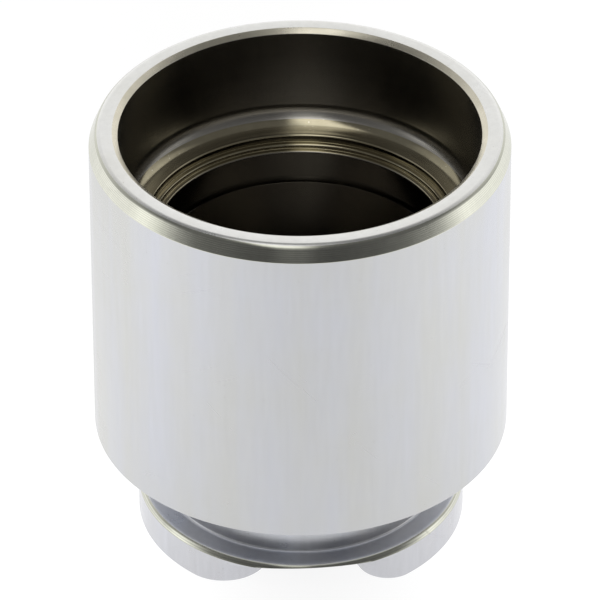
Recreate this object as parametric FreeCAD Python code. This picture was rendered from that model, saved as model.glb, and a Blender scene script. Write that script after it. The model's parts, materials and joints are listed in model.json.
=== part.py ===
import FreeCAD, Part
import math
import os

# Brake caliper piston: one steel cup, turned all over, plated outside.
# The pad face lies on z = 0, the open end looks up +Z, and the axis is Z.
# Levels at the open end are depths below the rim, and levels at the closed
# end are heights above the pad face. All sizes are millimetres.

# Overall size
land_diameter = 43.0
overall_height = 47.0

# Open end: flat rim, broken edge and the lead-in for the fluid seal
lead_in_length = 1.7
lead_in_angle = 24.0
rim_edge_chamfer = 0.42
bore_mouth_width = 0.6
bore_mouth_depth = 0.4

# Main bore, down to the filleted seat
wall_thickness = 3.0
seat_depth = 11.2
seat_fillet = 2.2
seat_flat_width = 0.55

# Two steps between the seat and the inner bore
first_step_width = 0.6
first_step_height = 0.8
second_step_width = 0.6
second_step_height = 0.45
step_chamfer = 0.12

# Retaining-ring groove in the inner bore
ring_groove_drop = 3.05
ring_groove_width = 0.8
ring_groove_cut = 0.9

# Closed end: clutch cone and the pocket for the end of the adjuster screw
closed_end_thickness = 7.0
pocket_diameter = 14.0
pocket_height = 4.45
pocket_chamfer = 0.6
cone_half_angle = 45.0

# Boot neck between the flange and the land
neck_diameter = 29.0
neck_length = 7.35
neck_corner = 0.25
land_edge_chamfer = 0.12

# Pad flange
flange_width = 2.55
flange_thickness = 4.2
flange_lip_chamfer = 0.65
pad_edge_chamfer = 0.3

# Wind-back notches, which leave two lugs on the pad face
notch_count = 2
notch_length = 9.55
notch_half_angle = 22.5
notch_web = 0.3
notch_inner_height = 0.95
notch_corner_radius = 1.0
lug_lead_radius = 4.8
lug_trail_radius = 3.3

# Cutting tools reach this far past the metal
tool_clearance = 1.0
# Points and edges closer than this count as being in the same place
same_place = 0.001

land_radius = land_diameter / 2
bore_radius = land_radius - wall_thickness
first_step_radius = bore_radius - seat_fillet - seat_flat_width
second_step_radius = first_step_radius - first_step_width
inner_bore_radius = second_step_radius - second_step_width
first_step_depth = seat_depth + first_step_height
second_step_depth = first_step_depth + second_step_height
neck_radius = neck_diameter / 2
flange_radius = neck_radius + flange_width

origin = FreeCAD.Vector(0, 0, 0)
right = FreeCAD.Vector(1, 0, 0)
front = FreeCAD.Vector(0, -1, 0)
up = FreeCAD.Vector(0, 0, 1)


def below_rim(depth):
    """Height above the pad face of a level given as a depth below the rim."""
    return overall_height - depth


def sharp(across, along):
    """Corner of an outline, left sharp."""
    return across, along, 0, 0


def chamfered(across, along, length):
    """Corner cut off flat, by the same length along both sides."""
    return across, along, length, 0


def rounded(across, along, radius):
    """Corner rounded by an arc."""
    return across, along, 0, radius


def corner_edges(before, corner, after, length, radius):
    """Where the cut of a corner starts and ends, and its edge if it has one."""
    to_before = (before - corner).normalize()
    to_after = (after - corner).normalize()
    half_angle = to_before.getAngle(to_after) / 2
    reach = length + radius / math.tan(half_angle)
    start = corner + to_before * reach
    end = corner + to_after * reach
    if radius > 0:
        bisector = (to_before + to_after).normalize()
        middle = corner + bisector * (radius / math.sin(half_angle) - radius)
        return start, end, [Part.Arc(start, middle, end).toShape()]
    if length > 0:
        return start, end, [Part.LineSegment(start, end).toShape()]
    return start, end, []


def outline_face(corners, across_way, along_way, start=origin):
    """Flat face from its corners, laid out along two directions."""
    points = [start + across_way * across + along_way * along for across, along, _, _ in corners]
    edges = []
    ends = []
    for index, (_, _, length, radius) in enumerate(corners):
        after = points[(index + 1) % len(points)]
        first, last, cut = corner_edges(points[index - 1], points[index], after, length, radius)
        edges.extend(cut)
        ends.append((first, last))
    for index, (_, last) in enumerate(ends):
        following = ends[(index + 1) % len(ends)][0]
        if not last.isEqual(following, same_place):
            edges.append(Part.LineSegment(last, following).toShape())
    return Part.Face(Part.Wire(Part.__sortEdges__(edges)))


def turned(corners):
    """Solid of revolution about the axis, from (radius, height) corners."""
    return outline_face(corners, right, up).revolve(origin, up, 360)


def outer_corners():
    """Outside of the half section, from the pad face up to the rim."""
    land_bottom = flange_thickness + neck_length
    rim_radius = land_radius - lead_in_length * math.tan(math.radians(lead_in_angle))
    return [
        sharp(0, 0),
        sharp(flange_radius, 0),
        sharp(flange_radius, flange_thickness),
        chamfered(neck_radius, flange_thickness, neck_corner),
        chamfered(neck_radius, land_bottom, neck_corner),
        chamfered(land_radius, land_bottom, land_edge_chamfer),
        sharp(land_radius, below_rim(lead_in_length)),
        chamfered(rim_radius, overall_height, rim_edge_chamfer),
    ]


def seat_corners():
    """Main bore, filleted seat and the two steps under it."""
    return [
        sharp(bore_radius + bore_mouth_width, overall_height),
        sharp(bore_radius, below_rim(bore_mouth_depth)),
        rounded(bore_radius, below_rim(seat_depth), seat_fillet),
        chamfered(first_step_radius, below_rim(seat_depth), step_chamfer),
        sharp(first_step_radius, below_rim(first_step_depth)),
        chamfered(second_step_radius, below_rim(first_step_depth), step_chamfer),
        sharp(second_step_radius, below_rim(second_step_depth)),
        chamfered(inner_bore_radius, below_rim(second_step_depth), step_chamfer),
    ]


def closed_end_corners():
    """Inner bore with its ring groove, clutch cone and screw pocket."""
    groove_radius = inner_bore_radius + ring_groove_cut
    groove_top = below_rim(second_step_depth + ring_groove_drop)
    groove_bottom = groove_top - ring_groove_width
    pocket_radius = pocket_diameter / 2
    pocket_top = closed_end_thickness + pocket_height
    cone_height = (inner_bore_radius - pocket_radius) / math.tan(math.radians(cone_half_angle))
    return [
        sharp(inner_bore_radius, groove_top),
        sharp(groove_radius, groove_top),
        sharp(groove_radius, groove_bottom),
        sharp(inner_bore_radius, groove_bottom),
        sharp(inner_bore_radius, pocket_top + cone_height),
        sharp(pocket_radius, pocket_top),
        chamfered(pocket_radius, closed_end_thickness, pocket_chamfer),
        sharp(0, closed_end_thickness),
    ]


def notch_plan(inner, outer):
    """Plan of the front notch, whose flanks run out from the axis."""
    flare = math.tan(math.radians(notch_half_angle))
    corners = [
        rounded(-inner * flare, inner, notch_corner_radius),
        rounded(inner * flare, inner, notch_corner_radius),
        sharp(outer * flare, outer),
        sharp(-outer * flare, outer),
    ]
    return outline_face(corners, right, front)


def notch_slab(inner, outer):
    """Everything under the notch's roof, which slopes up towards the front."""
    rim_height = flange_thickness - notch_web
    slope = (rim_height - notch_inner_height) / notch_length
    corners = [
        sharp(inner, 0),
        sharp(inner, notch_inner_height),
        sharp(outer, notch_inner_height + slope * (outer - inner)),
        sharp(outer, 0),
    ]
    return outline_face(corners, front, up, -right * outer).extrude(right * 2 * outer)


def notch_tool():
    """Material to take out for the front notch, which opens towards -Y."""
    inner = flange_radius - notch_length
    outer = flange_radius + tool_clearance
    prism = notch_plan(inner, outer).extrude(up * overall_height)
    return prism.common(notch_slab(inner, outer))


def lip_tool():
    """Ring round the flange's chamfered lip, which the notches cut into."""
    lip_radius = flange_radius - flange_lip_chamfer
    lip_height = flange_thickness - flange_lip_chamfer
    outside = flange_radius + tool_clearance
    above = flange_thickness + tool_clearance
    return turned([
        sharp(outside, lip_height),
        sharp(flange_radius, lip_height),
        sharp(lip_radius, flange_thickness),
        sharp(lip_radius, above),
        sharp(outside, above),
    ])


def turn_from_notch(point):
    """Angle from the middle of the nearest notch, negative on its -X side."""
    pitch = 360 / notch_count
    turn = math.degrees(math.atan2(point.x, -point.y))
    return (turn + pitch / 2) % pitch - pitch / 2


def lug_corner_edges(shape):
    """Upright edges where the notch flanks meet the flange's outside."""
    found = []
    for edge in shape.Edges:
        box = edge.BoundBox
        upright = box.XLength < same_place and box.YLength < same_place
        in_flange = box.ZMin < same_place and box.ZMax < flange_thickness
        reach = math.hypot(edge.CenterOfMass.x, edge.CenterOfMass.y)
        if upright and in_flange and abs(reach - flange_radius) < same_place:
            found.append(edge)
    return found


def lugs_rounded(shape):
    """Both corners of each lug rounded, the one a tool meets first by more."""
    lead = [edge for edge in lug_corner_edges(shape) if turn_from_notch(edge.CenterOfMass) < 0]
    shape = shape.makeFillet(lug_lead_radius, lead)
    trail = [edge for edge in lug_corner_edges(shape) if turn_from_notch(edge.CenterOfMass) > 0]
    return shape.makeFillet(lug_trail_radius, trail)


def pad_face_edges(shape):
    """Edges round the pad face, which lies on z = 0."""
    return [edge for edge in shape.Edges if edge.BoundBox.ZMax < same_place]


def piston():
    """Turned body with its notches cut and its closed end finished."""
    body = turned(outer_corners() + seat_corners() + closed_end_corners())
    tool = notch_tool()
    for index in range(notch_count):
        placed = tool.copy()
        placed.rotate(origin, up, index * 360 / notch_count)
        body = body.cut(placed)
    body = lugs_rounded(body)
    body = body.makeChamfer(pad_edge_chamfer, pad_face_edges(body))
    return body.cut(lip_tool())


os.makedirs("parts", exist_ok=True)
solid = piston()
solid.exportStep("parts/piston.step")
print("piston solids", len(solid.Solids), "valid", solid.isValid(), "volume", round(solid.Volume, 1))
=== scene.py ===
"""Looks of a brake caliper piston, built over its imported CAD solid.

The piston is one turned steel cup: a plated land with a lead-in at the open
rim, dark bores inside, and a notched pad flange at the closed end. All
lengths are metres, in the CAD's frame: the pad face is on z = 0 and the open
end looks up +Z.
"""

import json
import logging
import math
from dataclasses import dataclass, field
from enum import Enum

import bmesh
import bpy
from mathutils import Matrix, Vector


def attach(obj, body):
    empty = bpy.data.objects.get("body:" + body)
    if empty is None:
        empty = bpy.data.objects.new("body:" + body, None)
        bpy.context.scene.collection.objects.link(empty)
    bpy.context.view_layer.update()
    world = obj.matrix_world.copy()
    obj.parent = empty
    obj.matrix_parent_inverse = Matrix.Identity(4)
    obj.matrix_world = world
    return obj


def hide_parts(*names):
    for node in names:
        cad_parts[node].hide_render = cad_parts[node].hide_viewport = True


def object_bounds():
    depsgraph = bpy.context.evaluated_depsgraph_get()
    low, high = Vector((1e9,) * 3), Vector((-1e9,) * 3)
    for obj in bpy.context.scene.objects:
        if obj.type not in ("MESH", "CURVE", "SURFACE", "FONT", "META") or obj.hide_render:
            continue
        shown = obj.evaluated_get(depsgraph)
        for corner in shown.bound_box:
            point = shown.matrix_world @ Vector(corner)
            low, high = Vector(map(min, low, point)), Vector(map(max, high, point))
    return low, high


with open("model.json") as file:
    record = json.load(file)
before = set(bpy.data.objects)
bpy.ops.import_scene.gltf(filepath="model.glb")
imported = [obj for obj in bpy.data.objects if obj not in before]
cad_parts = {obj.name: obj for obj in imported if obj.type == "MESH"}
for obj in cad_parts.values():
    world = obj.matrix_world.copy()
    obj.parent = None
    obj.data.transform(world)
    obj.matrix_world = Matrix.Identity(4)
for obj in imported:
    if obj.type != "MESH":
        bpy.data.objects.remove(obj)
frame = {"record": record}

MM = 0.001
CAD_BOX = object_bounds()
MERGE_GAP = 0.001 * MM

Colour = tuple[float, float, float, float]
Span = tuple[float, float]

log = logging.getLogger("piston_scene")


class Zone(Enum):
    """Surfaces of the piston that are machined or plated in their own way."""

    LAND = 0
    LEAD_IN = 1
    RIM = 2
    MOUTH = 3
    BORE = 4
    SEAT = 5
    FLANGE = 6
    PAD_FACE = 7
    NECK = 8
    INNER_BORE = 9


# Small helpers


def mount(name: str) -> dict:
    """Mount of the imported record, by its name."""
    return next(m for m in frame["record"]["mounts"] if m["name"] == name)


def mount_radius(name: str) -> float:
    """Radius of a mount in metres."""
    return mount(name)["dims"]["r_mm"] * MM


def new_object(name: str, mesh: bpy.types.Mesh) -> bpy.types.Object:
    """Object at the origin that holds a mesh, linked to the scene.

    Args:
        name: Name of the object.
        mesh: Mesh with its place in its own vertices.

    Returns:
        The linked object.
    """
    made = bpy.data.objects.new(name, mesh)
    bpy.context.scene.collection.objects.link(made)
    return made


def mesh_from(name: str, bm: bmesh.types.BMesh) -> bpy.types.Mesh:
    """Mesh data-block written from a bmesh, which is freed.

    Args:
        name: Name of the mesh.
        bm: Bmesh to write.

    Returns:
        The mesh.
    """
    mesh = bpy.data.meshes.new(name)
    bm.to_mesh(mesh)
    bm.free()
    return mesh


# Shader graphs


class Graph:
    """Adds nodes to one shader tree and joins them."""

    def __init__(self, tree: bpy.types.NodeTree) -> None:
        """Keep the tree that nodes are added to."""
        self.tree = tree

    def add(self, kind: str, **settings: object) -> bpy.types.Node:
        """New node with its settings.

        Args:
            kind: Node type without the ShaderNode prefix.
            **settings: Node properties to set.

        Returns:
            The node.
        """
        node = self.tree.nodes.new("ShaderNode" + kind)
        for key, value in settings.items():
            setattr(node, key, value)
        return node

    def feed(self, target: bpy.types.NodeSocket, source: object) -> None:
        """Link a socket into the target, or set the target's own value.

        Args:
            target: Input socket to fill.
            source: Socket, value, or None to leave the input as it is.
        """
        if isinstance(source, bpy.types.NodeSocket):
            self.tree.links.new(source, target)
        elif source is not None:
            target.default_value = source

    def math(self, operation: str, first: object, second: object = None) -> bpy.types.NodeSocket:
        """Value of one math operation on sockets or numbers.

        Args:
            operation: Name of the operation.
            first: First socket or number.
            second: Second one, if it has one.

        Returns:
            Socket of the result.
        """
        node = self.add("Math", operation=operation)
        self.feed(node.inputs[0], first)
        self.feed(node.inputs[1], second)
        return node.outputs[0]

    def product(self, first: object, *others: object) -> bpy.types.NodeSocket:
        """Product of two or more sockets or numbers.

        Args:
            first: First factor.
            *others: Other factors.

        Returns:
            Socket of the product.
        """
        for other in others:
            first = self.math("MULTIPLY", first, other)
        return first

    def stretch(self, vector: object, scale: tuple[float, float, float]) -> bpy.types.NodeSocket:
        """Vector scaled along each axis.

        Args:
            vector: Vector socket.
            scale: Factor along X, Y and Z.

        Returns:
            Socket of the scaled vector.
        """
        node = self.add("VectorMath", operation="MULTIPLY")
        self.feed(node.inputs[0], vector)
        node.inputs[1].default_value = scale
        return node.outputs[0]

    def blend(self, first: object, second: object, share: float) -> bpy.types.NodeSocket:
        """Sum of two values, of which the first has the given share."""
        return self.math("ADD", self.product(first, share), self.product(second, 1.0 - share))

    def position(self) -> bpy.types.NodeSocket:
        """Place on the piece, in its own coordinates."""
        return self.add("TexCoord").outputs["Object"]

    def direction(self) -> list[bpy.types.NodeSocket]:
        """X, Y and Z of the direction from the origin to a place on the piece.

        Returns:
            The three sockets.
        """
        way = self.add("VectorMath", operation="NORMALIZE")
        self.feed(way.inputs[0], self.position())
        split = self.add("SeparateXYZ")
        self.feed(split.inputs[0], way.outputs[0])
        return list(split.outputs)

    def length(self, vector: object) -> bpy.types.NodeSocket:
        """Length of a vector.

        Args:
            vector: Vector socket.

        Returns:
            Socket of the length.
        """
        node = self.add("VectorMath", operation="LENGTH")
        self.feed(node.inputs[0], vector)
        return node.outputs["Value"]

    def highest(self, first: object, *others: object) -> bpy.types.NodeSocket:
        """Highest of two or more values.

        Args:
            first: First socket or number.
            *others: Other ones.

        Returns:
            Socket of the highest.
        """
        for other in others:
            first = self.math("MAXIMUM", first, other)
        return first

    def seen_white(self) -> bpy.types.NodeSocket:
        """One for camera, glossy and transmission rays, zero for the rest."""
        path = self.add("LightPath").outputs
        return self.highest(path["Is Camera Ray"], path["Is Glossy Ray"], path["Is Transmission Ray"])

    def noise(
        self, vector: object, scale: object, detail: float = 2.0, roughness: float = 0.5
    ) -> bpy.types.NodeSocket:
        """Noise value of about 0.5 on average.

        Args:
            vector: Place that the noise is read at.
            scale: Cells per metre, as a socket or number.
            detail: Number of finer layers.
            roughness: Weight of the finer layers.

        Returns:
            Socket of the value.
        """
        node = self.add("TexNoise")
        self.feed(node.inputs["Vector"], vector)
        self.feed(node.inputs["Scale"], scale)
        node.inputs["Detail"].default_value = detail
        node.inputs["Roughness"].default_value = roughness
        return node.outputs["Fac"]

    def noise_along(self, place: object, detail: float = 2.0) -> bpy.types.NodeSocket:
        """Noise along one value.

        Args:
            place: Value that the noise is read at.
            detail: Number of finer layers.

        Returns:
            Socket of the value.
        """
        node = self.add("TexNoise", noise_dimensions="1D")
        self.feed(node.inputs["W"], place)
        node.inputs["Scale"].default_value = 1.0
        node.inputs["Detail"].default_value = detail
        return node.outputs["Fac"]

    def remap(self, value: object, span: Span, ends: Span = (0.0, 1.0)) -> bpy.types.NodeSocket:
        """Value moved from one span to another, and clamped.

        Args:
            value: Socket or number.
            span: Span that the value comes from.
            ends: Span that it is moved to.

        Returns:
            Socket of the moved value.
        """
        node = self.add("MapRange")
        for socket, source in zip(node.inputs[:5], (value, *span, *ends)):
            self.feed(socket, source)
        return node.outputs[0]

    def around(self, value: object, span: Span, middle: float, spread: float) -> bpy.types.NodeSocket:
        """Value moved from a span to a spread either side of a middle."""
        return self.remap(value, span, (middle - spread, middle + spread))

    def mix(self, share: object, first: object, second: object, blend: str = "MIX") -> bpy.types.NodeSocket:
        """Colour mixed from two colours.

        Args:
            share: Share of the second colour.
            first: First colour.
            second: Second colour.
            blend: Name of the way they are mixed.

        Returns:
            Socket of the colour.
        """
        node = self.add("Mix", data_type="RGBA", blend_type=blend, clamp_factor=False)
        self.feed(node.inputs["Factor"], share)
        self.feed(node.inputs["A"], first)
        self.feed(node.inputs["B"], second)
        return node.outputs["Result"]


def new_material(name: str) -> tuple[bpy.types.Material, Graph]:
    """Material with an empty node tree, and the graph that fills it.

    Args:
        name: Name of the material.

    Returns:
        The material and its graph.
    """
    made = bpy.data.materials.new(name)
    made.use_nodes = True
    made.node_tree.nodes.clear()
    return made, Graph(made.node_tree)


class EffectGroup:
    """Shared surface effect, built once as a node group."""

    name = ""
    inputs: tuple[tuple[str, str, object], ...] = ()
    outputs: tuple[tuple[str, str], ...] = ()

    def tree(self) -> bpy.types.NodeTree:
        """Node tree of the effect, built the first time it is asked for.

        Returns:
            The shared tree.
        """
        found = bpy.data.node_groups.get(self.name)
        if found:
            return found
        tree = bpy.data.node_groups.new(self.name, "ShaderNodeTree")
        for label, kind, value in self.inputs:
            socket = tree.interface.new_socket(label, in_out="INPUT", socket_type=kind)
            if value is not None:
                socket.default_value = value
        for label, kind in self.outputs:
            tree.interface.new_socket(label, in_out="OUTPUT", socket_type=kind)
        graph = Graph(tree)
        entry = tree.nodes.new("NodeGroupInput")
        leave = tree.nodes.new("NodeGroupOutput")
        self.build(graph, entry.outputs, leave.inputs)
        return tree

    def build(self, graph: Graph, given: object, result: object) -> None:
        """Add the effect's nodes between the group's inputs and outputs.

        Args:
            graph: Graph of the group.
            given: The group's input sockets.
            result: The group's output sockets.
        """
        raise NotImplementedError

    def place(self, graph: Graph, **values: object) -> bpy.types.Node:
        """Put the effect into a material.

        Args:
            graph: Graph of the material.
            **values: Input values or sockets, with _ for spaces in names.

        Returns:
            The group node.
        """
        node = graph.tree.nodes.new("ShaderNodeGroup")
        node.node_tree = self.tree()
        for key, value in values.items():
            graph.feed(node.inputs[key.replace("_", " ")], value)
        return node


class TurningMarks(EffectGroup):
    """Fine rings that a turning tool or grinding wheel leaves."""

    name = "turning_marks"
    inputs = (
        ("Position", "NodeSocketVector", None),
        ("Rings per metre", "NodeSocketFloat", 6000.0),
        ("Break up", "NodeSocketFloat", 0.5),
    )
    outputs = (("Rings", "NodeSocketFloat"), ("Bands", "NodeSocketFloat"))
    uneven_share = 0.5
    even_share = 0.16
    bands_per_ring = 0.13
    patches_per_metre = 160.0

    def build(self, graph: Graph, given: object, result: object) -> None:
        """Rings run round the axis: they follow height plus radius.

        Args:
            graph: Graph of the group.
            given: The group's input sockets.
            result: The group's output sockets.
        """
        split = graph.add("SeparateXYZ")
        graph.feed(split.inputs[0], given["Position"])
        radius = graph.length(graph.stretch(given["Position"], (1.0, 1.0, 0.0)))
        place = graph.product(graph.math("ADD", split.outputs["Z"], radius), given["Rings per metre"])
        patches = graph.noise(given["Position"], self.patches_per_metre)
        strength = graph.math("SUBTRACT", 1.0, graph.product(given["Break up"], patches))
        uneven = graph.product(graph.math("SUBTRACT", graph.noise_along(place, 3.0), 0.5), self.uneven_share)
        even = graph.product(graph.math("SINE", graph.product(place, 2.0 * math.pi)), self.even_share)
        rings = graph.product(graph.math("ADD", uneven, even), strength)
        graph.feed(result["Rings"], graph.math("ADD", rings, 0.5))
        graph.feed(result["Bands"], graph.noise_along(graph.product(place, self.bands_per_ring)))


class PolishBands(EffectGroup):
    """Soft upright bands where the plating is polished a little more."""

    name = "polish_bands"
    inputs = (("Position", "NodeSocketVector", None), ("Width", "NodeSocketFloat", 220.0))
    outputs = (("Band", "NodeSocketFloat"), ("Cloud", "NodeSocketFloat"), ("Grain", "NodeSocketFloat"))
    band_stretch = (1.0, 1.0, 0.04)
    grain_stretch = (1.0, 1.0, 0.12)
    clouds_per_metre = 70.0
    grains_per_metre = 1500.0

    def build(self, graph: Graph, given: object, result: object) -> None:
        """Noise stretched along the axis, a slower cloud and a fine upright grain.

        Args:
            graph: Graph of the group.
            given: The group's input sockets.
            result: The group's output sockets.
        """
        place = given["Position"]
        tall = graph.stretch(place, self.band_stretch)
        graph.feed(result["Band"], graph.noise(tall, given["Width"], 3.0, 0.55))
        graph.feed(result["Cloud"], graph.noise(place, self.clouds_per_metre, 3.0, 0.6))
        fine = graph.stretch(place, self.grain_stretch)
        graph.feed(result["Grain"], graph.noise(fine, self.grains_per_metre, 2.0, 0.6))


class Scratches(EffectGroup):
    """Thin handling scratches in two slanted directions."""

    name = "handling_scratches"
    inputs = (("Position", "NodeSocketVector", None), ("Amount", "NodeSocketFloat", 0.5))
    outputs = (("Mask", "NodeSocketFloat"),)
    slants = ((0.5, 3.1), (-0.85, 7.7))
    line_stretch = (60.0, 60.0, 2600.0)
    crest = (0.70, 0.78)
    patches_per_metre = 130.0
    worn_patch = (0.5, 0.62)

    def build(self, graph: Graph, given: object, result: object) -> None:
        """Keep only the crests of two strongly stretched noises.

        Args:
            graph: Graph of the group.
            given: The group's input sockets.
            result: The group's output sockets.
        """
        masks = []
        for slant, shift in self.slants:
            node = graph.add("Mapping")
            graph.feed(node.inputs["Vector"], given["Position"])
            node.inputs["Rotation"].default_value = (0.0, slant, 0.0)
            node.inputs["Location"].default_value = (shift, shift, shift)
            lines = graph.noise(graph.stretch(node.outputs[0], self.line_stretch), 1.0, 1.0, 0.4)
            masks.append(graph.remap(lines, self.crest))
        worn = graph.remap(graph.noise(given["Position"], self.patches_per_metre), self.worn_patch)
        graph.feed(result["Mask"], graph.product(graph.highest(*masks), worn, given["Amount"]))


class Specks(EffectGroup):
    """Tiny pits and dust-size spots."""

    name = "tiny_specks"
    inputs = (
        ("Position", "NodeSocketVector", None),
        ("Cells", "NodeSocketFloat", 2600.0),
        ("Size", "NodeSocketFloat", 0.16),
        ("Share", "NodeSocketFloat", 0.1),
    )
    outputs = (("Mask", "NodeSocketFloat"),)

    def build(self, graph: Graph, given: object, result: object) -> None:
        """Round cell centres, of which only a share is kept.

        Args:
            graph: Graph of the group.
            given: The group's input sockets.
            result: The group's output sockets.
        """
        cells = graph.add("TexVoronoi")
        graph.feed(cells.inputs["Vector"], given["Position"])
        graph.feed(cells.inputs["Scale"], given["Cells"])
        inside = graph.math("LESS_THAN", cells.outputs["Distance"], given["Size"])
        split = graph.add("SeparateColor")
        graph.feed(split.inputs[0], cells.outputs["Color"])
        kept = graph.math("LESS_THAN", split.outputs[0], given["Share"])
        graph.feed(result["Mask"], graph.math("MULTIPLY", inside, kept))


TURNING = TurningMarks()
BANDS = PolishBands()
SCRATCHES = Scratches()
SPECKS = Specks()


# Finishes


@dataclass(frozen=True)
class MetalFinish:
    """Bare or plated metal with turning marks, tint, stains and scratches."""

    name: str
    colour: Colour
    tint: Colour
    tint_share: float
    roughness: float
    roughness_spread: float
    band_width: float = 220.0
    rings_per_metre: float = 6000.0
    ring_depth: float = 0.000002
    ring_shade: float = 0.0
    break_up: float = 0.5
    grain_shade: float = 0.03
    scratches: float = 0.3
    specks: float = 0.05
    speck_colour: Colour = (0.30, 0.28, 0.24, 1.0)
    speck_strength: float = 0.35
    band_share: float = 0.6
    tint_span: Span = (0.38, 0.62)
    shade_span: Span = (0.3, 0.7)
    rough_span: Span = (0.35, 0.65)
    scratch_roughness: float = 0.15
    scratch_depth: float = 0.8

    def material(self) -> bpy.types.Material:
        """Material of this finish.

        Returns:
            A metal whose colour, roughness and bump vary over the surface.
        """
        made, graph = new_material(self.name)
        position = graph.position()
        turning = TURNING.place(
            graph, Position=position, Rings_per_metre=self.rings_per_metre, Break_up=self.break_up
        ).outputs
        bands = BANDS.place(graph, Position=position, Width=self.band_width).outputs
        marks = SCRATCHES.place(graph, Position=position, Amount=self.scratches).outputs["Mask"]
        spots = SPECKS.place(graph, Position=position, Share=self.specks).outputs["Mask"]
        slow = graph.blend(bands["Band"], bands["Cloud"], self.band_share)

        colour = graph.mix(graph.remap(slow, self.tint_span, (0.0, self.tint_share)), self.colour, self.tint)
        shade = graph.product(
            graph.around(turning["Rings"], self.shade_span, 1.0, self.ring_shade),
            graph.around(bands["Grain"], self.shade_span, 1.0, self.grain_shade),
        )
        grey = graph.add("CombineColor")
        for socket in grey.inputs[:3]:
            graph.feed(socket, shade)
        colour = graph.mix(1.0, colour, grey.outputs[0], "MULTIPLY")
        colour = graph.mix(graph.product(spots, self.speck_strength), colour, self.speck_colour)

        rough = graph.around(slow, self.rough_span, self.roughness, self.roughness_spread)
        rough = graph.math("ADD", rough, graph.product(marks, self.scratch_roughness))
        ring_rough = graph.product(graph.math("SUBTRACT", turning["Bands"], 0.5), self.roughness_spread)
        rough = graph.math("ADD", rough, ring_rough)

        height = graph.math("SUBTRACT", turning["Rings"], graph.product(marks, self.scratch_depth))
        bump = graph.add("Bump")
        bump.inputs["Strength"].default_value = 1.0
        bump.inputs["Distance"].default_value = self.ring_depth
        graph.feed(bump.inputs["Height"], height)

        shader = graph.add("BsdfPrincipled")
        shader.inputs["Metallic"].default_value = 1.0
        graph.feed(shader.inputs["Base Color"], colour)
        graph.feed(shader.inputs["Roughness"], rough)
        graph.feed(shader.inputs["Normal"], bump.outputs[0])
        out = graph.add("OutputMaterial")
        graph.feed(out.inputs["Surface"], shader.outputs[0])
        return made


PLATED_LAND = MetalFinish(
    name="plated_land",
    colour=(0.570, 0.580, 0.622, 1.0),
    tint=(0.578, 0.580, 0.566, 1.0),
    tint_share=1.0,
    grain_shade=0.012,
    roughness=0.24,
    roughness_spread=0.04,
    rings_per_metre=9000.0,
    ring_depth=0.0000008,
    ring_shade=0.012,
    scratches=0.6,
    specks=0.02,
)
GROUND_RIM = MetalFinish(
    name="ground_rim",
    colour=(0.645, 0.645, 0.640, 1.0),
    tint=(0.675, 0.670, 0.650, 1.0),
    tint_share=0.8,
    roughness=0.30,
    roughness_spread=0.05,
    rings_per_metre=8000.0,
    ring_depth=0.000001,
    ring_shade=0.02,
    scratches=0.2,
    specks=0.08,
)
TURNED_LEAD_IN = MetalFinish(
    name="turned_lead_in",
    colour=(0.56, 0.565, 0.49, 1.0),
    tint=(0.60, 0.60, 0.53, 1.0),
    tint_share=0.8,
    roughness=0.18,
    roughness_spread=0.04,
    rings_per_metre=9500.0,
    ring_depth=0.000002,
    ring_shade=0.22,
    break_up=0.7,
    scratches=0.8,
    specks=0.05,
)
BORE_MOUTH = MetalFinish(
    name="bore_mouth",
    colour=(0.66, 0.62, 0.52, 1.0),
    tint=(0.56, 0.53, 0.43, 1.0),
    tint_share=0.9,
    roughness=0.28,
    roughness_spread=0.06,
    rings_per_metre=9000.0,
    ring_depth=0.000003,
    ring_shade=0.08,
    specks=0.12,
)
BORE_STEEL = MetalFinish(
    name="bore_steel",
    colour=(0.445, 0.430, 0.395, 1.0),
    tint=(0.405, 0.385, 0.345, 1.0),
    tint_share=0.9,
    roughness=0.24,
    roughness_spread=0.03,
    scratches=0.0,
    rings_per_metre=5000.0,
    ring_depth=0.000004,
    ring_shade=0.10,
    specks=0.10,
    speck_colour=(0.70, 0.68, 0.60, 1.0),
)
# Steel of the inner bore, about half as bright as the bore steel above it, so the deepest part of the cup is
# darker.
INNER_STEEL = MetalFinish(
    name="inner_steel",
    colour=(0.235, 0.223, 0.198, 1.0),
    tint=(0.215, 0.198, 0.168, 1.0),
    tint_share=0.9,
    roughness=0.20,
    roughness_spread=0.03,
    rings_per_metre=5000.0,
    ring_depth=0.000002,
    ring_shade=0.08,
    scratches=0.0,
    specks=0.03,
)
SEAT_STEEL = MetalFinish(
    name="seat_steel",
    colour=(0.405, 0.370, 0.265, 1.0),
    tint=(0.31, 0.275, 0.19, 1.0),
    tint_share=0.9,
    roughness=0.10,
    roughness_spread=0.03,
    rings_per_metre=9000.0,
    ring_depth=0.000003,
    ring_shade=0.08,
    specks=0.25,
    speck_colour=(0.85, 0.82, 0.72, 1.0),
)
PLATED_FLANGE = MetalFinish(
    name="plated_flange",
    colour=(0.600, 0.607, 0.645, 1.0),
    tint=(0.590, 0.590, 0.610, 1.0),
    tint_share=0.8,
    roughness=0.24,
    roughness_spread=0.05,
    rings_per_metre=7000.0,
    ring_depth=0.000001,
    ring_shade=0.02,
    scratches=0.5,
    specks=0.05,
)
PLATED_NECK = MetalFinish(
    name="plated_neck",
    colour=(0.575, 0.590, 0.632, 1.0),
    tint=(0.600, 0.600, 0.612, 1.0),
    tint_share=0.8,
    roughness=0.31,
    roughness_spread=0.05,
    rings_per_metre=7000.0,
    ring_depth=0.000001,
    ring_shade=0.04,
    scratches=0.0,
    specks=0.05,
)
GROUND_PAD_FACE = MetalFinish(
    name="ground_pad_face",
    colour=(0.57, 0.57, 0.565, 1.0),
    tint=(0.50, 0.49, 0.47, 1.0),
    tint_share=0.8,
    roughness=0.30,
    roughness_spread=0.06,
    rings_per_metre=3500.0,
    ring_depth=0.000006,
    ring_shade=0.06,
    scratches=0.7,
    specks=0.06,
)

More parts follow.
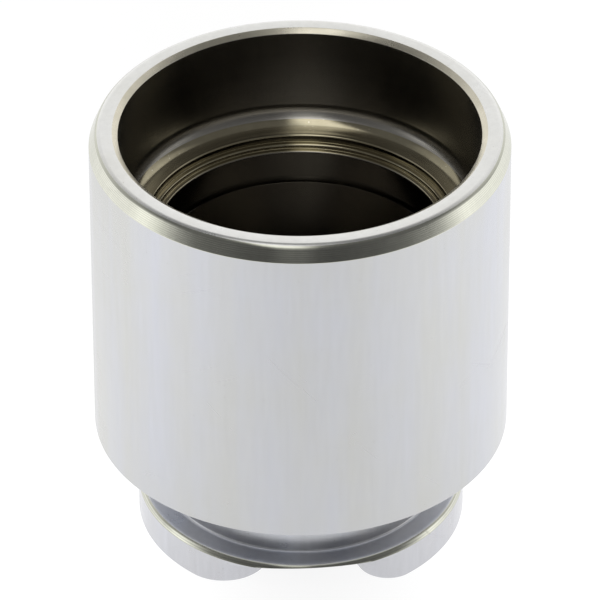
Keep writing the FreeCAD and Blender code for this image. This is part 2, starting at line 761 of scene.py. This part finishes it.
ZONE_FINISH = {
    Zone.LAND: PLATED_LAND,
    Zone.LEAD_IN: TURNED_LEAD_IN,
    Zone.RIM: GROUND_RIM,
    Zone.MOUTH: BORE_MOUTH,
    Zone.BORE: BORE_STEEL,
    Zone.SEAT: SEAT_STEEL,
    Zone.FLANGE: PLATED_FLANGE,
    Zone.PAD_FACE: GROUND_PAD_FACE,
    Zone.NECK: PLATED_NECK,
    Zone.INNER_BORE: INNER_STEEL,
}


# The piston


@dataclass(frozen=True)
class Corner:
    """Corner of the turned outline and the surface that starts there."""

    radius: float
    height: float
    zone: Zone
    rounding: float = 0.0
    steps: int = 6

    def place(self) -> Vector:
        """Place of the corner in the half section, on the XZ plane."""
        return Vector((self.radius, 0.0, self.height))


@dataclass
class OpenEnd:
    """Land, lead-in and rim of the open end."""

    land_radius: float = field(default_factory=lambda: mount_radius("seal_land"))
    top: float = field(default_factory=lambda: CAD_BOX[1][2])
    lead_in_length: float = 1.7 * MM
    lead_in_angle: float = math.radians(24.0)
    lead_in_rounding: float = 0.25 * MM
    rim_rounding: float = 0.75 * MM
    mouth_width: float = 0.6 * MM
    mouth_rounding: float = 0.06 * MM

    def corners(self) -> list[Corner]:
        """Outline from the top of the land to the mouth of the bore.

        Returns:
            Corners in order.
        """
        rim_radius = self.land_radius - self.lead_in_length * math.tan(self.lead_in_angle)
        mouth_radius = mount_radius("main_bore") + self.mouth_width
        return [
            Corner(self.land_radius, self.top - self.lead_in_length, Zone.LEAD_IN, self.lead_in_rounding, 3),
            Corner(rim_radius, self.top, Zone.RIM, self.rim_rounding, 8),
            Corner(mouth_radius, self.top, Zone.MOUTH, self.mouth_rounding, 3),
        ]


@dataclass
class SteppedBore:
    """Main bore with its seat, the two steps and the inner bore."""

    bore_radius: float = field(default_factory=lambda: mount_radius("main_bore"))
    inner_radius: float = field(default_factory=lambda: mount_radius("adjuster_bore"))
    pocket_radius: float = field(default_factory=lambda: mount_radius("screw_pocket"))
    top: float = field(default_factory=lambda: CAD_BOX[1][2])
    mouth_depth: float = 0.4 * MM
    mouth_edge_rounding: float = 0.1 * MM
    inside_rounding: float = 0.05 * MM
    seat_depth: float = 11.2 * MM
    seat_fillet: float = 2.2 * MM
    step_width: float = 0.6 * MM
    first_step_height: float = 0.8 * MM
    second_step_height: float = 0.45 * MM
    step_rounding: float = 0.2 * MM
    groove_drop: float = 3.05 * MM
    groove_width: float = 0.8 * MM
    groove_cut: float = 0.9 * MM
    pocket_floor: float = 7.0 * MM
    pocket_height: float = 4.45 * MM
    pocket_fillet: float = 1.0 * MM
    cone_rounding: float = 0.3 * MM
    pocket_edge_rounding: float = 0.2 * MM

    def corners(self) -> list[Corner]:
        """Outline from the bore's mouth down to the middle of the pocket.

        Returns:
            Corners in order.
        """
        seat = self.top - self.seat_depth
        first = seat - self.first_step_height
        second = first - self.second_step_height
        inner = self.inner_radius
        middle = inner + self.step_width
        outer = middle + self.step_width
        groove_top = second - self.groove_drop
        groove_bottom = groove_top - self.groove_width
        groove = inner + self.groove_cut
        pocket_top = self.pocket_floor + self.pocket_height
        cone_top = pocket_top + inner - self.pocket_radius
        return [
            Corner(self.bore_radius, self.top - self.mouth_depth, Zone.BORE, self.mouth_edge_rounding, 3),
            Corner(self.bore_radius, seat, Zone.SEAT, self.seat_fillet, 16),
            Corner(outer, seat, Zone.SEAT, self.step_rounding, 5),
            Corner(outer, first, Zone.SEAT, self.inside_rounding, 2),
            Corner(middle, first, Zone.SEAT, self.step_rounding, 5),
            Corner(middle, second, Zone.SEAT, self.inside_rounding, 2),
            Corner(inner, second, Zone.INNER_BORE, self.step_rounding, 5),
            Corner(inner, groove_top, Zone.INNER_BORE, self.inside_rounding, 2),
            Corner(groove, groove_top, Zone.INNER_BORE),
            Corner(groove, groove_bottom, Zone.INNER_BORE),
            Corner(inner, groove_bottom, Zone.INNER_BORE, self.inside_rounding, 2),
            Corner(inner, cone_top, Zone.INNER_BORE, self.cone_rounding, 3),
            Corner(self.pocket_radius, pocket_top, Zone.INNER_BORE, self.pocket_edge_rounding, 3),
            Corner(self.pocket_radius, self.pocket_floor, Zone.INNER_BORE, self.pocket_fillet, 8),
            Corner(0.0, self.pocket_floor, Zone.INNER_BORE),
        ]


@dataclass
class PadFlange:
    """Neck and pad flange, with the two wind-back notches."""

    neck_radius: float = field(default_factory=lambda: mount_radius("boot_neck"))
    flange_width: float = 2.55 * MM
    flange_thickness: float = 4.2 * MM
    neck_length: float = 7.35 * MM
    neck_rounding: float = 0.3 * MM
    lip_width: float = 0.34 * MM
    lip_height: float = 0.65 * MM
    lip_edge_rounding: float = 0.12 * MM
    lip_top_rounding: float = 0.5 * MM
    web_edge_rounding: float = 0.14 * MM
    pad_edge_rounding: float = 0.4 * MM
    land_edge_rounding: float = 0.15 * MM
    notch_length: float = 9.55 * MM
    notch_half_angle: float = math.radians(22.5)
    notch_web: float = 0.3 * MM
    notch_inner_height: float = 0.95 * MM
    notch_corner_reach: float = 0.67 * MM
    notch_corner_steps: int = 6
    lead_radius: float = 4.8 * MM
    trail_radius: float = 3.3 * MM
    lug_arc_steps: int = 18
    overlap: float = 0.02 * MM
    clearance: float = 1.0 * MM

    @property
    def flange_radius(self) -> float:
        """Outside radius of the flange."""
        return self.neck_radius + self.flange_width

    def corners(self, land_radius: float) -> list[Corner]:
        """Outline from the middle of the pad face up to the land.

        Args:
            land_radius: Radius of the land.

        Returns:
            Corners in order.
        """
        land_bottom = self.flange_thickness + self.neck_length
        lip_bottom = self.flange_thickness - self.lip_height
        lip_radius = self.flange_radius - self.lip_width
        return [
            Corner(0.0, 0.0, Zone.PAD_FACE),
            Corner(self.flange_radius, 0.0, Zone.FLANGE),
            Corner(self.flange_radius, lip_bottom, Zone.LEAD_IN, self.lip_edge_rounding, 3),
            Corner(lip_radius, self.flange_thickness, Zone.NECK, self.lip_top_rounding, 8),
            Corner(self.neck_radius, self.flange_thickness, Zone.NECK, self.neck_rounding, 5),
            Corner(self.neck_radius, land_bottom, Zone.NECK, self.neck_rounding, 5),
            Corner(land_radius, land_bottom, Zone.LAND, self.land_edge_rounding, 4),
        ]

    def lug_arc(self, bm: bmesh.types.BMesh, rounding: float, side: float) -> list[bmesh.types.BMVert]:
        """Arc that rounds one lug corner, from the flank to the outside.

        Args:
            bm: Bmesh of the cutter's plan.
            rounding: Radius of the lug's corner.
            side: 1 for the +X flank of the front notch, -1 for the -X one.

        Returns:
            Vertices from the flank out to the flange's outside.
        """
        reach = self.flange_radius + self.overlap - rounding
        lean = math.asin(rounding / reach)
        angle = side * (self.notch_half_angle + lean)
        centre = Vector((math.sin(angle), -math.cos(angle), 0.0)) * reach
        flank = side * self.notch_half_angle
        start = bm.verts.new(Vector((math.sin(flank), -math.cos(flank), 0.0)) * reach * math.cos(lean))
        sweep = side * (math.pi / 2 + lean)
        before = set(bm.verts)
        bmesh.ops.spin(bm, geom=[start], cent=centre, axis=(0, 0, 1), dvec=(0, 0, 0), angle=sweep,
                       steps=self.lug_arc_steps, use_merge=False, use_duplicate=False)
        made = [vert for vert in bm.verts if vert not in before]
        return [start] + sorted(made, key=lambda vert: (vert.co - start.co).length)

    def cutter(self) -> bpy.types.Object:
        """Solid that takes both notches out of the flange.

        Returns:
            Object of the cutter, to be removed after the cut.
        """
        bm = bmesh.new()
        inner = self.flange_radius - self.notch_length
        outer = self.flange_radius + self.clearance
        flare = math.tan(self.notch_half_angle)
        left_in = bm.verts.new((-inner * flare, -inner, 0.0))
        right_in = bm.verts.new((inner * flare, -inner, 0.0))
        right = self.lug_arc(bm, self.trail_radius, 1.0)
        left = self.lug_arc(bm, self.lead_radius, -1.0)
        right_out = bm.verts.new(right[-1].co.normalized() * outer + Vector((0.0, -outer, 0.0)))
        left_out = bm.verts.new(left[-1].co.normalized() * outer + Vector((0.0, -outer, 0.0)))
        loop = [left_in, right_in] + right + [right_out, left_out] + left[::-1]
        for edge in list(bm.edges):
            bm.edges.remove(edge)
        for before, after in zip(loop[-1:] + loop[:-1], loop):
            bm.edges.new((before, after))
        bmesh.ops.bevel(bm, geom=[left_in, right_in], offset=self.notch_corner_reach, offset_type="OFFSET",
                        segments=self.notch_corner_steps, profile=0.5, affect="VERTICES", material=-1)
        bmesh.ops.remove_doubles(bm, verts=bm.verts, dist=MERGE_GAP)
        plan = bmesh.ops.contextual_create(bm, geom=list(bm.edges))["faces"]
        raised = bmesh.ops.extrude_face_region(bm, geom=plan)["geom"]
        top = [item for item in raised if isinstance(item, bmesh.types.BMVert)]
        low = [vert for vert in bm.verts if vert not in set(top)]
        slope = (self.flange_thickness - self.notch_web - self.notch_inner_height) / self.notch_length
        lean = Matrix.Identity(4)
        lean[2][1] = -slope
        lean[2][3] = self.notch_inner_height - slope * inner
        bmesh.ops.transform(bm, matrix=lean, verts=top)
        bmesh.ops.translate(bm, vec=(0.0, 0.0, -self.clearance), verts=low)
        other = bmesh.ops.duplicate(bm, geom=list(bm.faces) + list(bm.edges) + list(bm.verts))["geom"]
        turned = [item for item in other if isinstance(item, bmesh.types.BMVert)]
        bmesh.ops.rotate(bm, cent=(0, 0, 0), matrix=Matrix.Rotation(math.pi, 3, "Z"), verts=turned)
        bmesh.ops.recalc_face_normals(bm, faces=bm.faces)
        return new_object("notch_cutter", mesh_from("notch_cutter", bm))


@dataclass
class PistonBody:
    """The whole piston as one closed mesh."""

    open_end: OpenEnd = field(default_factory=OpenEnd)
    bore: SteppedBore = field(default_factory=SteppedBore)
    flange: PadFlange = field(default_factory=PadFlange)
    turn_steps: int = 288
    hard_angle: float = math.radians(19.0)
    cut_edge_angle: float = math.radians(50.0)
    flat_floor: float = 0.001 * MM
    weld_gap: float = 0.003 * MM
    zone_reach: float = 0.96 * MM
    facing_down: float = -0.99
    web_edge_lowest: float = 3.2 * MM
    web_edge_below_top: float = 0.1 * MM
    web_edge_reach: float = 0.4 * MM

    def outline(self) -> list[Corner]:
        """Corners of the half section, from the pad face round to the pocket."""
        return self.flange.corners(self.open_end.land_radius) + self.open_end.corners() + self.bore.corners()

    def turned_blank(self) -> bpy.types.Object:
        """Blank without notches, spun from the rounded outline.

        Returns:
            Object of the blank, one closed mesh.
        """
        corners = self.outline()
        bm = bmesh.new()
        verts = [bm.verts.new(corner.place()) for corner in corners]
        for first, second in zip(verts, verts[1:]):
            bm.edges.new((first, second))
        for index, (corner, vert) in enumerate(zip(corners, verts)):
            if corner.rounding <= 0.0:
                continue
            back = corners[index - 1].place() - corner.place()
            ahead = corners[index + 1].place() - corner.place()
            reach = corner.rounding / math.tan(back.angle(ahead) / 2)
            bmesh.ops.bevel(bm, geom=[vert], offset=reach, offset_type="OFFSET", segments=corner.steps,
                            profile=0.5, affect="VERTICES", material=-1)
        bmesh.ops.spin(bm, geom=list(bm.verts) + list(bm.edges), cent=(0, 0, 0), axis=(0, 0, 1),
                       dvec=(0, 0, 0), angle=2 * math.pi, steps=self.turn_steps, use_merge=True,
                       use_duplicate=False)
        bmesh.ops.remove_doubles(bm, verts=bm.verts, dist=MERGE_GAP / 2)
        flat = [face for face in bm.faces if face.calc_center_median().z < self.flat_floor]
        bmesh.ops.dissolve_faces(bm, faces=flat, use_verts=False)
        bmesh.ops.recalc_face_normals(bm, faces=bm.faces)
        return new_object("piston_body", mesh_from("piston_body", bm))

    def cut_notches(self, body: bpy.types.Object) -> None:
        """Take the notches out of the blank.

        Args:
            body: Object of the blank. Its mesh is replaced.
        """
        cutter = self.flange.cutter()
        cut = body.modifiers.new("notches", "BOOLEAN")
        cut.operation = "DIFFERENCE"
        cut.solver = "EXACT"
        cut.object = cutter
        bpy.context.view_layer.update()
        solid = body.evaluated_get(bpy.context.evaluated_depsgraph_get())
        mesh = bpy.data.meshes.new_from_object(solid)
        mesh.name = "piston_body"
        body.modifiers.clear()
        body.data = mesh
        bpy.data.objects.remove(cutter)

    def finish_mesh(self, mesh: bpy.types.Mesh) -> None:
        """Round the pad face's edges, merge doubles and mark hard edges.

        Args:
            mesh: Mesh of the piston after its notches are cut.
        """
        bm = bmesh.new()
        bm.from_mesh(mesh)
        bmesh.ops.remove_doubles(bm, verts=bm.verts, dist=self.weld_gap)
        bmesh.ops.dissolve_degenerate(bm, dist=MERGE_GAP, edges=bm.edges)
        foot = [edge for edge in bm.edges if self.is_foot_edge(edge)]
        bmesh.ops.bevel(bm, geom=foot, offset=self.flange.pad_edge_rounding, offset_type="OFFSET", segments=4,
                        profile=0.5, affect="EDGES", clamp_overlap=True, material=-1)
        web = [edge for edge in bm.edges if self.is_web_edge(edge)]
        bmesh.ops.bevel(bm, geom=web, offset=self.flange.web_edge_rounding, offset_type="OFFSET", segments=3,
                        profile=0.5, affect="EDGES", clamp_overlap=True, material=-1)
        bmesh.ops.remove_doubles(bm, verts=bm.verts, dist=self.weld_gap)
        bmesh.ops.recalc_face_normals(bm, faces=bm.faces)
        corners = self.outline()
        for face in bm.faces:
            face.smooth = True
            face.material_index = self.zone_of(face, corners).value
        for edge in bm.edges:
            edge.smooth = len(edge.link_faces) == 2 and edge.calc_face_angle() < self.hard_angle
        bm.to_mesh(mesh)
        bm.free()

    def is_cut_edge(self, edge: bmesh.types.BMEdge) -> bool:
        """Whether two faces meet at an edge at a large angle."""
        return len(edge.link_faces) == 2 and edge.calc_face_angle() > self.cut_edge_angle

    def is_foot_edge(self, edge: bmesh.types.BMEdge) -> bool:
        """Whether an edge lies on the outline of the pad face."""
        return max(vert.co.z for vert in edge.verts) < self.flat_floor and self.is_cut_edge(edge)

    def is_web_edge(self, edge: bmesh.types.BMEdge) -> bool:
        """Whether an edge is the lower outer edge of the web over a notch.

        Args:
            edge: Edge of the cut mesh.

        Returns:
            True for such an edge.
        """
        middle = (edge.verts[0].co + edge.verts[1].co) / 2
        highest = self.flange.flange_thickness - self.web_edge_below_top
        high = self.web_edge_lowest < middle.z < highest
        near = high and self.flange.flange_radius - middle.xy.length < self.web_edge_reach
        return near and self.is_cut_edge(edge)

    def zone_of(self, face: bmesh.types.BMFace, corners: list[Corner]) -> Zone:
        """Surface that a face belongs to, from the nearest run of the outline.

        Args:
            face: Face of the finished mesh.
            corners: Corners of the half section.

        Returns:
            The zone of the nearest run, or the flange for notch faces.
        """
        centre = face.calc_center_median()
        spot = Vector((centre.xy.length, 0.0, centre.z))
        if face.normal.z < self.facing_down and centre.z < self.flange.pad_edge_rounding:
            return Zone.PAD_FACE
        best, zone = self.zone_reach, Zone.FLANGE
        for first, second in zip(corners, corners[1:]):
            start = first.place()
            run = second.place() - start
            share = min(max((spot - start).dot(run) / run.length_squared, 0.0), 1.0)
            gap = (spot - start - run * share).length
            if gap < best and first.zone is not Zone.PAD_FACE:
                best, zone = gap, first.zone
        return zone

    def build(self) -> bpy.types.Object:
        """Model the piston, dress it and hang it on the frame.

        Returns:
            The finished piece, which stands for the CAD node.
        """
        body = self.turned_blank()
        self.cut_notches(body)
        body.data.materials.clear()
        for zone in Zone:
            body.data.materials.append(ZONE_FINISH[zone].material())
        self.finish_mesh(body.data)
        weighted = body.modifiers.new("even_normals", "WEIGHTED_NORMAL")
        weighted.keep_sharp = True
        weighted.weight = 50
        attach(body, "root")
        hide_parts("piston")
        return body


# Studio


@dataclass(frozen=True)
class Softbox:
    """Rectangular soft lamp aimed at a target."""

    name: str
    place: tuple[float, float, float]
    size: tuple[float, float]
    level: float
    colour: tuple[float, float, float]
    target: tuple[float, float, float]

    def build(self) -> bpy.types.Object:
        """Lamp whose face has the brightness given by its level.

        Returns:
            The lamp, which reflections do not see.
        """
        data = bpy.data.lights.new(self.name, "AREA")
        data.shape = "RECTANGLE"
        data.size, data.size_y = self.size
        data.energy = self.level * math.pi * self.size[0] * self.size[1]
        data.color = self.colour
        lamp = bpy.data.objects.new(self.name, data)
        bpy.context.scene.collection.objects.link(lamp)
        lamp.location = self.place
        aim = Vector(self.target) - Vector(self.place)
        lamp.rotation_euler = aim.to_track_quat("-Z", "Y").to_euler()
        lamp.visible_camera = False
        lamp.visible_glossy = False
        return lamp


@dataclass
class TableTop:
    """Pale table top that stays white and keeps a faint shadow."""

    size: float = 6.0
    grey: float = 0.17
    glow: float = 0.85
    near_and_far: Span = (0.03, 0.25)
    side_gain: Span = (0.16, 0.42)

    def build(self) -> bpy.types.Object:
        """Table top, whose glow only the camera and reflections see.

        Returns:
            The table top.
        """
        bm = bmesh.new()
        bmesh.ops.create_grid(bm, x_segments=1, y_segments=1, size=self.size / 2)
        table = new_object("table_top", mesh_from("table_top", bm))
        made, graph = new_material("white_table")
        across = graph.direction()[0]
        gain = graph.remap(graph.length(graph.position()), self.near_and_far, self.side_gain)
        beside = graph.product(graph.math("POWER", across, 2.0), gain)
        glow = graph.product(graph.math("ADD", beside, self.glow), graph.seen_white())
        shader = graph.add("BsdfPrincipled")
        shader.inputs["Base Color"].default_value = (self.grey,) * 3 + (1.0,)
        shader.inputs["Roughness"].default_value = 1.0
        shader.inputs["Specular IOR Level"].default_value = 0.0
        shader.inputs["Emission Color"].default_value = (1.0, 1.0, 1.0, 1.0)
        graph.feed(shader.inputs["Emission Strength"], glow)
        out = graph.add("OutputMaterial")
        graph.feed(out.inputs["Surface"], shader.outputs[0])
        table.data.materials.append(made)
        return table


@dataclass
class LightTent:
    """Light tent that only reflections see: pale walls, open front, dim roof.

    Each span is a stretch of the direction's X (across), Y (deep) or Z (high)
    over which a light comes in or fades out.
    """

    radius: float = 2.4
    skirt: float = 0.2
    dark: Colour = (0.088, 0.088, 0.091, 1.0)
    bright: Colour = (1.0, 1.0, 0.985, 1.0)
    back_deep: Span = (0.0, 0.95)
    back_levels: Span = (0.18, 1.38)
    back_edge: Span = (-0.02, 0.18)
    back_top: Span = (0.92, 0.74)
    back_lean: float = 0.9
    side_high: Span = (0.0, 0.70)
    side_level: float = 1.75
    side_deep: Span = (0.44, 0.06)
    horizon_high: Span = (0.0, 0.15)
    horizon_levels: Span = (1.05, 0.12)
    horizon_deep: Span = (0.95, 0.30)
    roof_high: Span = (0.50, 0.95)
    roof_level: float = 0.10
    strip_left: Span = (-0.34, -0.23)
    strip_right: Span = (0.08, -0.04)
    strip_back: Span = (0.20, 0.05)
    strip_top: Span = (0.62, 0.85)
    strip_front: Span = (0.20, 0.80)
    strip_front_levels: Span = (0.02, 0.36)
    strip_level: float = 1.85

    def shell(self) -> bpy.types.Object:
        """Dome whose faces look inwards.

        Returns:
            Object of the dome.
        """
        bm = bmesh.new()
        bmesh.ops.create_uvsphere(bm, u_segments=64, v_segments=32, radius=self.radius)
        below = [vert for vert in bm.verts if vert.co.z < -self.skirt]
        bmesh.ops.delete(bm, geom=below, context="VERTS")
        bmesh.ops.reverse_faces(bm, faces=bm.faces)
        return new_object("light_tent", mesh_from("light_tent", bm))

    def cloth(self) -> bpy.types.Material:
        """Glowing cloth, whose level changes with the direction from the piston.

        Returns:
            Material of the cloth.
        """
        made, graph = new_material("tent_cloth")
        across, deep, high = graph.direction()
        off_axis = graph.math("ABSOLUTE", deep)
        back = graph.product(graph.remap(deep, self.back_deep, self.back_levels),
                             graph.remap(deep, self.back_edge), graph.remap(high, self.back_top))
        lean = graph.math("ADD", graph.product(across, high, high, self.back_lean), 1.0)
        side = graph.product(graph.remap(high, self.side_high, (self.side_level, 0.0)),
                             graph.remap(off_axis, self.side_deep))
        horizon = graph.product(graph.remap(high, self.horizon_high, self.horizon_levels),
                                graph.remap(off_axis, self.horizon_deep))
        roof = graph.remap(high, self.roof_high, (0.0, self.roof_level))
        fade = graph.highest(graph.remap(high, self.strip_top),
                             graph.remap(high, self.strip_front, self.strip_front_levels))
        strip = graph.product(graph.remap(across, self.strip_left), graph.remap(across, self.strip_right),
                              graph.remap(deep, self.strip_back), fade, self.strip_level)
        level = graph.highest(graph.product(back, lean), side, horizon, roof, strip)
        glow = graph.add("Emission")
        graph.feed(glow.inputs["Color"], graph.mix(level, self.dark, self.bright))
        out = graph.add("OutputMaterial")
        graph.feed(out.inputs["Surface"], glow.outputs[0])
        return made

    def build(self) -> bpy.types.Object:
        """Tent that the camera doesn't see and that lights nothing else.

        Returns:
            The tent.
        """
        tent = self.shell()
        tent.data.materials.append(self.cloth())
        tent.visible_camera = False
        tent.visible_diffuse = False
        tent.visible_shadow = False
        tent.visible_transmission = False
        return tent


@dataclass
class Studio:
    """White table, light tent, overhead lamp and white surroundings."""

    table: TableTop = field(default_factory=TableTop)
    tent: LightTent = field(default_factory=LightTent)
    lamp: Softbox = Softbox("overhead_strip", (-0.125, -0.40, 1.03), (0.25, 0.80), 2.0,
                            (1.0, 0.985, 0.93), (-0.125, -0.4001, 0.0))
    world_levels: Span = (0.8, 1.0)

    def world(self) -> None:
        """White surroundings, dimmer for the light that they give."""
        world = bpy.data.worlds.new("white_surroundings")
        world.use_nodes = True
        world.node_tree.nodes.clear()
        graph = Graph(world.node_tree)
        back = graph.add("Background")
        back.inputs["Color"].default_value = (1.0, 1.0, 1.0, 1.0)
        graph.feed(back.inputs["Strength"], graph.remap(graph.seen_white(), (0.0, 1.0), self.world_levels))
        out = graph.add("OutputWorld")
        graph.feed(out.inputs["Surface"], back.outputs[0])
        bpy.context.scene.world = world

    def build(self) -> None:
        """Put up the whole studio."""
        self.table.build()
        self.tent.build()
        self.world()
        self.lamp.build()
        bpy.context.scene.view_settings.view_transform = "Standard"


@dataclass
class PhotoCamera:
    """Long lens at the photograph's viewing angle."""

    azimuth: float = math.radians(-4.6)
    elevation: float = 0.612966583
    roll: float = -0.00284175
    distance: float = 0.69913
    focal_length: float = 405.982
    sensor: float = 36.0
    look_at: tuple[float, float, float] = (0.00001, 0.0, 0.02576)
    shift: float = 0.5 / 600.0

    def build(self) -> bpy.types.Object:
        """Camera of the scene.

        Returns:
            The camera object.
        """
        back = Vector((
            math.sin(self.azimuth) * math.cos(self.elevation),
            -math.cos(self.azimuth) * math.cos(self.elevation),
            math.sin(self.elevation),
        ))
        right = Vector((math.cos(self.azimuth), math.sin(self.azimuth), 0.0))
        up = back.cross(right)
        tilted_right = right * math.cos(self.roll) + up * math.sin(self.roll)
        tilted_up = up * math.cos(self.roll) - right * math.sin(self.roll)
        turn = Matrix((tilted_right, tilted_up, back)).transposed()
        data = bpy.data.cameras.new("photo_camera")
        data.sensor_width = self.sensor
        data.lens = self.focal_length
        data.shift_x = -self.shift
        data.shift_y = self.shift
        data.clip_start = 0.01
        data.clip_end = 50.0
        camera = bpy.data.objects.new("photo_camera", data)
        bpy.context.scene.collection.objects.link(camera)
        camera.matrix_world = Matrix.Translation(Vector(self.look_at) + back * self.distance) @ turn.to_4x4()
        bpy.context.scene.camera = camera
        return camera


def main() -> None:
    """Build the piston, the studio and the camera."""
    logging.basicConfig(level=logging.INFO, format="%(name)s: %(message)s")
    body = PistonBody().build()
    log.info("%s has %d faces", body.name, len(body.data.polygons))
    Studio().build()
    log.info("studio is up")
    PhotoCamera().build()
    log.info("camera is at the photograph's angle")


if __name__ == "__main__":
    main()
